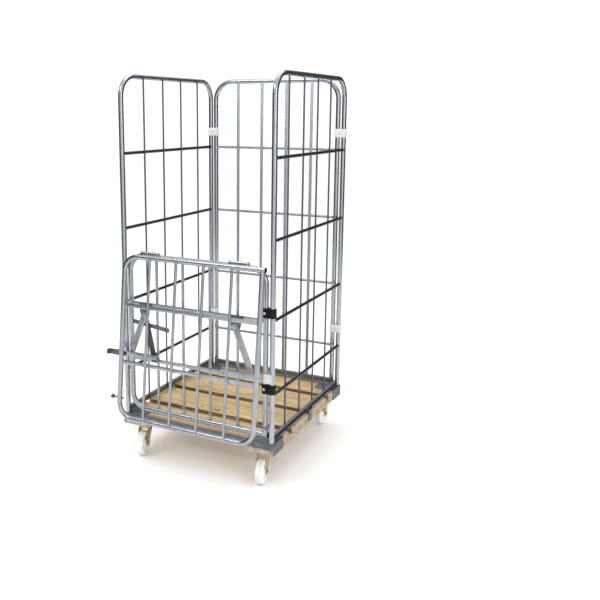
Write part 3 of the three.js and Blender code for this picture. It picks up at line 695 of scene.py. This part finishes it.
# The sloping tie bar, from the left-hand post past the first upright bar.
tie_run, tie_fall = POST - 129, 21
slope = Matrix.Translation((-POST, 0, LOWER_Z - 287)) @ Matrix.Rotation(math.atan2(tie_fall, tie_run), 4, "Y")
lower.slot = 3
lower.box((9, -2, -9), (math.hypot(tie_run, tie_fall), 1.9, 9), 0.7, 2, slope)
lower.piece("lower_gate", GATE_METALS, "lower_gate")


def end_plug(matrix):
    """The domed plug in the open end of a half's tube."""
    shape = Shape()
    dome = [(0, -11.5), (7.8, -11.5), (7.8, 0), (10.8, 0), (11, 0.5)]
    dome += [(10.6, 1.8), (8.6, 2.7), (5, 3.0), (0, 3.0)]
    shape.turn(dome, (POST + TUBE + 1.3, 0, 0), (1, 0, 0), 32)
    return shape.moved(matrix)


lower_end = Matrix.Translation((0, 0, LOWER_Z - LOWER_HEIGHT))
end_plug(lower_end).piece("lower_gate_plug", [BLACK], "lower_gate", 50)

upper = Shape()
upper_place = Matrix.Translation((0, -16.5, -16.5))
gate_half(upper, UPPER_HEIGHT, True, -1, upper_place)
for centre in BARRELS:
    for way in (-1, 1):
        near = centre + way * 39.5
        far = near + way * 4
        low = min(near, far)
        upper.turn(pipe_profile(7.5, 4.4, 0, 4, 0.4), (low, 0, 0), (1, 0, 0), 24)
        arm = rounded([(-6, 6.2), (6, 6.2), (6, 22.6), (-6, 22.6)], 0.8)
        across = Matrix(((0, 0, 1, low), (1, 0, 0, 0), (0, -1, 0, 0), (0, 0, 0, 1)))
        tip = Matrix.Rotation(-math.pi / 4, 4, "X")
        upper.plate(arm, [], 4, tip @ across, 0.4)
upper.moved(FOLDED).piece("upper_gate", GATE_METALS, "upper_gate")
end_plug(FOLDED @ upper_place).piece("upper_gate_plug", [BLACK], "upper_gate", 50)

for side, centre in zip(("left", "right"), BARRELS):
    pin = Shape()
    reach = 39 + 0.5 + 4 + 0.3
    pin.rod((centre - reach - 1, 0, 0), (centre + reach + 1, 0, 0), 4, 24)
    for way in (-1, 1):
        dome = [(0, 0), (5.9, 0), (6.45, 0.5), (6.2, 1.5), (4.6, 2.6), (2.4, 3.0), (0, 3.0)]
        pin.turn(dome, (centre + way * reach, 0, 0), (way, 0, 0), 24)
    pin.moved(FOLDED).piece(f"{side}_fold_pin", [BOLT], "upper_gate", 35)

# Latch and pegs, drawn in the upper half's own frame. Its face towards the lower half is at Y = FACE.
FACE = -5.5
LATCH_Z = -16.5 - 418
hook = Shape()
tip_x = -POST - 75
outline = [(-POST + 14, LATCH_Z + 8), (-POST + 14, LATCH_Z - 8), (-POST - 12, LATCH_Z - 13)]
outline += [(tip_x, LATCH_Z - 11), (tip_x, LATCH_Z + 11), (-POST - 12, LATCH_Z + 13)]
rivet_hole = circle(-POST, LATCH_Z, 4.3)[::-1]
hook.plate(rounded(outline, [7, 7, 12, 1.5, 1.5, 12]), [rivet_hole], 4, upright(FACE + 2), 0.6)
lip = [(tip_x, FACE + 6), (tip_x, FACE - 14), (tip_x + 5, FACE - 14), (tip_x + 5, FACE + 2.2)]
lip = rounded(lip + [(tip_x + 9, FACE + 2.2), (tip_x + 9, FACE + 6)], [4.5, 1.5, 1.5, 2, 0, 0])
hook.plate(lip, [], 22, Matrix.Translation((0, 0, LATCH_Z - 11)), 0.6)
hook.moved(FOLDED).piece("latch_hook", [DULL], "latch_hook", 35)

rivet = Shape()
button = [(0, 0), (4, 0), (4, 5.9), (8, 6.0), (8, 6.9), (6.6, 8.4), (3.6, 9.0), (0, 9.0)]
rivet.turn(button, (-POST, FACE + 0.3, LATCH_Z), (0, 1, 0), 28)
rivet.moved(FOLDED).piece("latch_rivet", [BOLT], "upper_gate", 30)

PEG_Z = -16.5 - 612
for side, sign in (("left", -1), ("right", 1)):
    peg = Shape()
    depth = FACE + 0.3 + 4
    profile = [(0, 0), (3.4, 0), (4, 0.6), (4, 49.1), (7.6, 49.1)]
    profile += [(8.9, 50.2), (8.9, 59.4), (7.4, 60.8), (0, 61)]
    peg.turn(profile, (sign * (POST - 8), depth, PEG_Z), (sign, 0, 0), 24)
    weld = [(0, -7), (2.0, -6), (2.6, 0), (2.0, 6), (0, 7)]
    peg.turn(weld, (sign * (POST - 1), depth - 3.6, PEG_Z), (1, 0, 0), 12)
    peg.moved(FOLDED).piece(f"{side}_stop_peg", [DULL], "upper_gate", 35)

# Stays, each behind its guide strap, on the outer side of the lower half.
TOP_RAIL, LOW_RAIL = (LOWER_Z - drop for drop in RAIL_DROPS)


def stay_bracket(sign, pivot, height):
    """The plate that carries a stay, folded back on to the upper flat rail."""
    shape = Shape()
    corners = [(30, TOP_RAIL + 9), (-26, TOP_RAIL + 9), (-20, height - 4), (-8, height - 24)]
    corners += [(12, height - 24), (24, height + 8)]
    outline = rounded([(pivot + sign * across, z) for across, z in corners], [2, 2, 8, 8, 8, 8])
    shape.plate(outline, [circle(pivot, height, 4.3)[::-1]], 4, upright(-11.3), 0.6)
    ends = sorted((pivot + sign * 30, pivot - sign * 26))
    shape.box((ends[0], -8.3, TOP_RAIL - 7), (ends[1], -2.8, TOP_RAIL + 9), 0.9)
    return shape


def stay_arm(sign, pivot, height):
    """The flat bar itself, hung 22 degrees out from straight down."""
    shape = Shape()
    blade = [(-14, 14), (-14, 8 - 190), (-6, -190), (6, -190), (14, 8 - 190), (14, 14)]
    blade = rounded(blade, [12, 5, 3, 3, 5, 12], 6)
    shape.plate(blade, [circle(0, 0, 4.3)[::-1], circle(0, -176, 3.0)[::-1]], 4, upright(-15.6), 0.6)
    swing = Matrix.Rotation(-sign * math.radians(22), 4, "Y")
    return shape.moved(Matrix.Translation((pivot, 0, height)) @ swing)


def stay_bolt(pivot, height):
    """A hexagon bolt with its washer."""
    shape = Shape()
    place = Matrix.Translation((pivot, -16.5, height)) @ Matrix.Rotation(math.pi / 2, 4, "X")
    shape.plate(circle(0, 0, 7.9, 6), [], 3.2, place, 0.6)
    shape.turn([(0, 0), (7.7, 0), (7.7, 0.8), (0, 0.8)], (pivot, -15.9, height), (0, -1, 0), 28)
    shape.rod((pivot, -16.6, height), (pivot, -2.8, height), 4, 20)
    return shape


def guide_strap(low, high):
    """A strap bent back at both ends to the gate, which the stay slides behind."""
    shape = Shape()
    left_back = -5.5 if low < -POST else -2.8
    section = [(low, left_back), (low, -18.9), (high, -18.9), (high, -2.8), (high - 4, -2.8)]
    section += [(high - 4, -15.9), (low + 4, -15.9), (low + 4, left_back)]
    foot = LOW_RAIL + 10
    run = rounded(section, [0.6, 5, 5, 0.6, 0.6, 1.2, 1.2, 0.6], 6)
    shape.plate(run, [], 20, Matrix.Translation((0, 0, foot)), 0.6)
    for x, back in ((low, left_back), (high - 4, -2.8)):
        shape.box((x + 0.2, -14, foot - 12), (x + 3.8, back, foot + 4), 0.6)
    return shape


STAYS = (("left", -1, -242, TOP_RAIL - 43, -334.5, -180), ("right", 1, 190, TOP_RAIL - 38, 130, 290))
for side, sign, pivot, height, low, high in STAYS:
    stay_bracket(sign, pivot, height).piece(f"{side}_stay_bracket", [DULL], "lower_gate", 35)
    stay_arm(sign, pivot, height).piece(f"{side}_stay", [STAY], f"{side}_stay", 35)
    stay_bolt(pivot, height).piece(f"{side}_stay_bolt", [BOLT], "lower_gate", 30)
    guide_strap(low, high).piece(f"{side}_guide_strap", [STAY], "lower_gate", 35)

# The left stay's brace, in the darker zinc that is painted shade.
brace = Shape()
_, _, pivot, height, _, high = STAYS[0]
outline = [(pivot - 9, height + 10), (pivot - 9, height - 8), (high - 34, LOW_RAIL - 6)]
outline += [(high - 6, LOW_RAIL - 6), (pivot + 9, height + 4), (pivot + 9, height + 10)]
eye = circle(pivot, height, 4.3)[::-1]
brace.plate(rounded(outline, [7, 5, 2, 2, 5, 5]), [eye], 4.2, upright(-7.0), 0.6)
brace.piece("left_stay_brace", [SHADE_PAINTED_ZINC], "lower_gate", 35)


# Platform


def plank(name, low, high, along, seed, nails=(), edge=0.35):
    """A sawn board with eased edges, a slightly uneven face and its nail heads. Its long side faces take the
    pine darkened by the edge factor, as painted shade.
    """
    shape = Shape()
    part = bmesh.new()
    bmesh.ops.create_cube(part, size=1)
    low, high = Vector(low), Vector(high)
    size = high - low
    part.transform(Matrix.Translation((low + high) / 2) @ Matrix.Diagonal((*size, 1)))
    bmesh.ops.bevel(part, geom=part.edges[:], offset=1.6, segments=3, affect="EDGES", profile=0.5)
    axis = 0 if along == "X" else 1
    for k in range(1, 24):
        place = low.copy()
        place[axis] += size[axis] * k / 24
        normal = Vector((0, 0, 0))
        normal[axis] = 1
        everything = part.verts[:] + part.edges[:] + part.faces[:]
        bmesh.ops.bisect_plane(part, geom=everything, plane_co=place, plane_no=normal)
    for v in part.verts:
        t = v.co[axis] * 0.021 + seed * 2.1
        drop = 0.35 * (0.5 + 0.3 * math.sin(t) + 0.2 * math.sin(2.7 * t + seed))
        if v.co.z > high.z - 2:
            v.co.z -= drop
        side = 1 - axis
        middle = (low[side] + high[side]) / 2
        v.co[side] += (0.5 * drop) * (1 if v.co[side] < middle else -1)
    shape._add(part)
    # Long side faces take the darkened pine, which is painted shade in the gaps between boards. End faces
    # take the end grain.
    for face in shape.bm.faces:
        if abs(face.normal[1 - axis]) > 0.5:
            face.material_index = 2
        elif abs(face.normal[axis]) > 0.5:
            face.material_index = 3
    shape.slot = 1
    for x, y in nails:
        shape.turn([(0, -2), (3.2, -2), (3.4, -0.5), (2.4, -0.25), (0, -0.2)], (x, y, high.z), (0, 0, 1), 18)
    woods = [pine(name + "_pine", along, seed), pine(name + "_painted_shade_side", along, seed, edge)]
    return shape.piece(name, [woods[0], BOLT, woods[1], END_GRAIN], "cage", 35)


END_GRAIN = sawn_end("sawn_end_grain")


def local(box):
    """A CAD node's box in the drawing's millimetres."""
    back = TO_ROW.inverted()
    return back @ Vector(box[0]), back @ Vector(box[1])


for index in range(1, 5):
    low, high = local(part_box(f"deck_board_{index}"))
    rows = (low.y + 0.22 * (high.y - low.y), high.y - 0.22 * (high.y - low.y))
    spots = [(x, y + 6 * math.sin(x + index)) for x in (-318, -268, 268, 318) for y in rows]
    plank(f"deck_board_{index}", low, high, "X", index, spots)
for index, side in enumerate(("left", "right")):
    low, high = local(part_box(f"{side}_bearer"))
    # The bearers' long side faces are darkened to 0.8 as painted shade.
    plank(f"{side}_bearer", low, high, "Y", 6 + index, (), 0.8)


def edge_rail():
    """A pressed angle along the platform's end, with a rolled bend."""
    shape = Shape()
    outline = [(-14, 163), (-14, 190), (6, 190), (6, 187), (-11, 187), (-11, 163)]
    run = rounded(outline, [1, 4, 1, 1, 1.5, 1], 5)
    shape.loft([[(x, y, z) for y, z in run] for x in (-261.7, 261.7)])
    return shape


edge_rail().piece("front_rail", [DULL], "cage")
half_turn = Matrix.Translation((0, DEPTH, 0)) @ Matrix.Rotation(math.pi, 4, "Z")
edge_rail().moved(half_turn).piece("rear_rail", [DULL], "cage")


def corner_bracket(rear):
    """The front right corner: a pressed cap with two skirts and the pegs that the wall tubes stand on."""
    shape = Shape()
    top = rounded([(262, -14), (362, -14), (362, 86), (262, 86)], [3, 5, 3, 14], 6)
    holes = [circle(285, 64, 4)[::-1], circle(335, 64, 4)[::-1]]
    shape.plate(top, holes, 3, Matrix.Translation((0, 0, 187)), 0.9)
    skirt = rounded([(262, 163), (361, 163), (361, 189), (262, 189)], [5, 2, 1, 1], 5)
    shape.plate(skirt, [], 3, upright(-14), 0.7)
    side = rounded([(-13, 140), (86, 140), (86, 189), (-13, 189)], [4, 9, 1, 1], 6)
    sideways = Matrix(((0, 0, 1, 359), (1, 0, 0, 0), (0, 1, 0, 0), (0, 0, 0, 1)))
    shape.plate(side, [circle(62, 152, 3.6)], 3, sideways, 0.7)
    shape.rod((361, -12.2, 141), (361, -12.2, 188.5), 1.0, 10, 0.2)
    for x in (SIDE, POST) if rear else (SIDE,):
        peg = [(0, 0), (8, 0), (8, 38.5), (6.6, 42), (0, 42)]
        shape.turn(peg, (x, 0, 188), (0, 0, 1), 28)
    shape.slot = 1
    for x, y in ((285, 64), (335, 64)):
        shape.turn([(0, 0), (6.4, 0), (6.4, 0.8), (4.4, 2.2), (0, 2.2)], (x, y, 187.6), (0, 0, 1), 24)
    return shape


CORNERS = [("front_left", -1, 0), ("front_right", 1, 0), ("rear_left", -1, 1), ("rear_right", 1, 1)]

for corner, sign, rear in CORNERS:
    place = Matrix.Diagonal((sign, -1 if rear else 1, 1, 1))
    if rear:
        place = Matrix.Translation((0, DEPTH, 0)) @ place
    corner_bracket(rear).moved(place).piece(f"{corner}_corner_bracket", [DULL, BOLT], "cage", 35)


# Casters


def wheel_shape():
    """A nylon wheel turned round the X axis: a crowned tread, a dished web and a hub, with a steel bush."""
    shape = Shape()
    half = [
        (10.0, 18.5), (16.5, 18.5), (18.0, 17.6), (18.8, 12.0), (21.5, 9.6), (33.0, 8.6), (36.0, 10.2),
        (37.5, 14.6), (38.8, 16.0), (47.0, 16.0), (50.6, 14.6), (53.0, 11.0), (53.9, 5.0),
    ]
    profile = [(r, -t) for r, t in half] + [(54.0, 0.0)] + [(r, t) for r, t in half[::-1]]
    shape.turn(profile, (0, 0, 0), (1, 0, 0), 72)
    shape.slot = 1
    tread = [(53.2, -10.6), (54.0, -4.0), (54.04, 0.0), (54.0, 4.0), (53.2, 10.6), (50, 10), (50, -10)]
    shape.turn(tread, (0, 0, 0), (1, 0, 0), 72)
    shape.slot = 2
    shape.turn([(5.4, -18.4), (10.2, -18.4), (10.2, 18.4), (5.4, 18.4)], (0, 0, 0), (1, 0, 0), 36)
    return shape


def axle_shape():
    """An axle bolt along X, with a hexagon head, a nut and washers."""
    shape = Shape()
    shape.rod((-23.5, 0, 0), (28.3, 0, 0), 5, 24)
    for way in (-1, 1):
        shape.turn([(0, 0), (8.9, 0), (8.9, 1.2), (0, 1.2)], (way * 23.3, 0, 0), (way, 0, 0), 28)
        turn = Matrix.Rotation(way * math.pi / 2, 4, "Y")
        shape.plate(circle(0, 0, 8.6, 6), [], 3.8, turn @ Matrix.Translation((0, 0, 24.5)), 0.7)
    return shape


def fork_legs(shape, trail, top):
    """Two pressed side plates that sweep from the crown back to the axle."""
    out = [(29, top), (-29, top), (-trail - 15, 62), (-trail - 9, 42), (-trail + 9, 42), (-trail + 16, 58)]
    outline = rounded(out, [2, 2, 16, 9, 9, 16], 7)
    hole = circle(-trail, 54, 5.3, 24)[::-1]
    for x in (-23.0, 20.0):
        place = Matrix(((0, 0, 1, x), (1, 0, 0, 0), (0, 1, 0, 0), (0, 0, 0, 1)))
        shape.plate(outline, [hole], 3, place, 0.6)


def top_plate(shape):
    """The mounting plate with its four bolts, heads down."""
    outline = rounded([(-50, -42.5), (50, -42.5), (50, 42.5), (-50, 42.5)], 8, 6)
    shape.plate(outline, [], 4, Matrix.Translation((0, 0, 135.7)), 0.7)
    shape.slot = 1
    for x in (-40, 40):
        for y in (-32, 32):
            shape.plate(circle(x, y, 6.6, 6), [], 4.2, Matrix.Translation((0, 0, 131.6)), 0.6)
    shape.slot = 0


for corner, sign, rear in CORNERS:
    swivels = not rear
    depth = 704 if rear else 50
    still = Matrix.Translation((sign * 290, depth, 0))
    turned = still @ Matrix.Rotation(math.radians(12), 4, "Z") if swivels else still
    trail = 36 if swivels else 0
    carrier = f"{corner}_swivel" if swivels else "cage"
    if swivels:
        plate = Shape()
        top_plate(plate)
        race = [(6.4, 124.4), (27.0, 124.4), (29.4, 125.6), (30, 127.4)]
        race += [(30, 130.0), (27.6, 133.2), (27.4, 136.4), (6.4, 136.4)]
        plate.turn(race, (0, 0, 0), (0, 0, 1), 48)
        plate.moved(still).piece(f"{corner}_caster_plate", [GOLD, BOLT], "cage", 35)
        fork = Shape()
        crown = [(6.4, 113.6), (24.0, 113.6), (27.0, 114.2), (30.4, 117.4)]
        crown += [(31.0, 120.6), (30.2, 123.4), (27.6, 124.0), (6.4, 124.0)]
        fork.turn(crown, (0, 0, 0), (0, 0, 1), 48)
        fork_legs(fork, trail, 122)
        fork.moved(turned).piece(f"{corner}_fork", [GOLD], carrier, 35)
        pin = Shape()
        profile = [(0, 109.8), (6.6, 109.8), (8.6, 111.2), (9.0, 113.0)]
        profile += [(8.6, 113.4), (5.9, 113.4), (5.9, 138.7), (0, 138.7)]
        pin.turn(profile, (0, 0, 0), (0, 0, 1), 28)
        pin.moved(still).piece(f"{corner}_kingpin", [BOLT], "cage", 30)
    else:
        bracket = Shape()
        top_plate(bracket)
        fork_legs(bracket, 0, 136.4)
        bracket.moved(still).piece(f"{corner}_caster_bracket", [GOLD, BOLT], "cage", 35)
    hub = turned @ Matrix.Translation((0, -trail, 54))
    wheel_shape().moved(hub).piece(f"{corner}_wheel", [NYLON, TREAD, BOLT], f"{corner}_wheel", 35)
    axle_shape().moved(hub).piece(f"{corner}_axle", [BOLT], carrier, 30)


# Floor, light and camera


def floor_material():
    made, tree, shader = material("pale_floor")
    cloud = textured(tree, "ShaderNodeTexNoise", coordinates(tree), "Fac", Scale=1.5, Detail=3.0)
    tree.links.new(ramp(tree, cloud, [(0.3, (0.90,)), (0.7, (0.91,))]), shader.inputs["Base Color"])
    shader.inputs["Roughness"].default_value = 0.85
    shader.inputs["Specular IOR Level"].default_value = 0.1
    return made


bpy.ops.mesh.primitive_plane_add(size=60, location=(0, 0, 0))
floor = bpy.context.object
floor.name = "floor"
floor.data.materials.append(floor_material())

world = bpy.data.worlds.new("studio")
bpy.context.scene.world = world
world.use_nodes = True
sky = world.node_tree
backdrop = sky.nodes["Background"]
backdrop.inputs["Color"].default_value = (1, 1, 1, 1)
backdrop.inputs["Strength"].default_value = 1.15


def softbox(name, place, target, size, power):
    light = bpy.data.lights.new(name, "AREA")
    light.shape = "RECTANGLE"
    light.size, light.size_y = size
    light.energy = power
    lamp = bpy.data.objects.new(name, light)
    lamp.location = place
    lamp.rotation_mode = "QUATERNION"
    lamp.rotation_quaternion = (Vector(target) - Vector(place)).to_track_quat("-Z", "Y")
    bpy.context.scene.collection.objects.link(lamp)
    return lamp


def dark_panel(name, middle_angle, half_angle, radius=3.2, height=3.4):
    """A curved dark card at one side of the studio, which shows only in the metal's reflections."""
    part = bmesh.new()
    columns = []
    for k in range(13):
        a = math.radians(middle_angle + half_angle * (k / 6 - 1))
        x, y = radius * math.cos(a), radius * math.sin(a)
        columns.append((part.verts.new((x, y, 0.25)), part.verts.new((x, y, height))))
    for a, b in zip(columns, columns[1:]):
        part.faces.new((a[0], b[0], b[1], a[1]))
    mesh = bpy.data.meshes.new(name)
    part.to_mesh(mesh)
    part.free()
    made, _, shader = material(name)
    shader.inputs["Base Color"].default_value = (0.06, 0.065, 0.07, 1)
    shader.inputs["Roughness"].default_value = 1.0
    mesh.materials.append(made)
    panel = bpy.data.objects.new(name, mesh)
    bpy.context.scene.collection.objects.link(panel)
    panel.visible_camera = False
    panel.visible_diffuse = False
    panel.visible_shadow = False


CAMERA_TURN = 28.087  # degrees the camera stands round from straight in front, towards +X
ahead = CAMERA_TURN - 90
dark_panel("left_dark_card", ahead - 100, 55)
dark_panel("right_dark_card", ahead + 100, 55)

centre = (cad_box[0] + cad_box[1]) / 2
softbox("key", centre + Vector((-1.6, -2.6, 2.6)), centre, (1.6, 1.6), 50)
softbox("fill", centre + Vector((2.8, -1.6, 1.2)), centre, (1.2, 2.4), 20)
softbox("top", centre + Vector((0.0, 0.6, 3.0)), centre, (2.5, 2.5), 30)

camera_data = bpy.data.cameras.new("camera")
camera = bpy.data.objects.new("camera", camera_data)
bpy.context.scene.collection.objects.link(camera)
camera_data.lens = 45.375
camera_data.sensor_width = 36.0
camera_data.shift_x = 0.12
camera_data.shift_y = -0.08
camera_data.clip_start = 0.05
camera_data.clip_end = 200.0
camera.location = TO_ROW @ Vector((1527.888, -2580.783, 1486.563))
camera.rotation_euler = (math.radians(90 - 10.392), 0, math.radians(CAMERA_TURN))
bpy.context.scene.camera = camera
bpy.context.scene.view_settings.view_transform = "Standard"
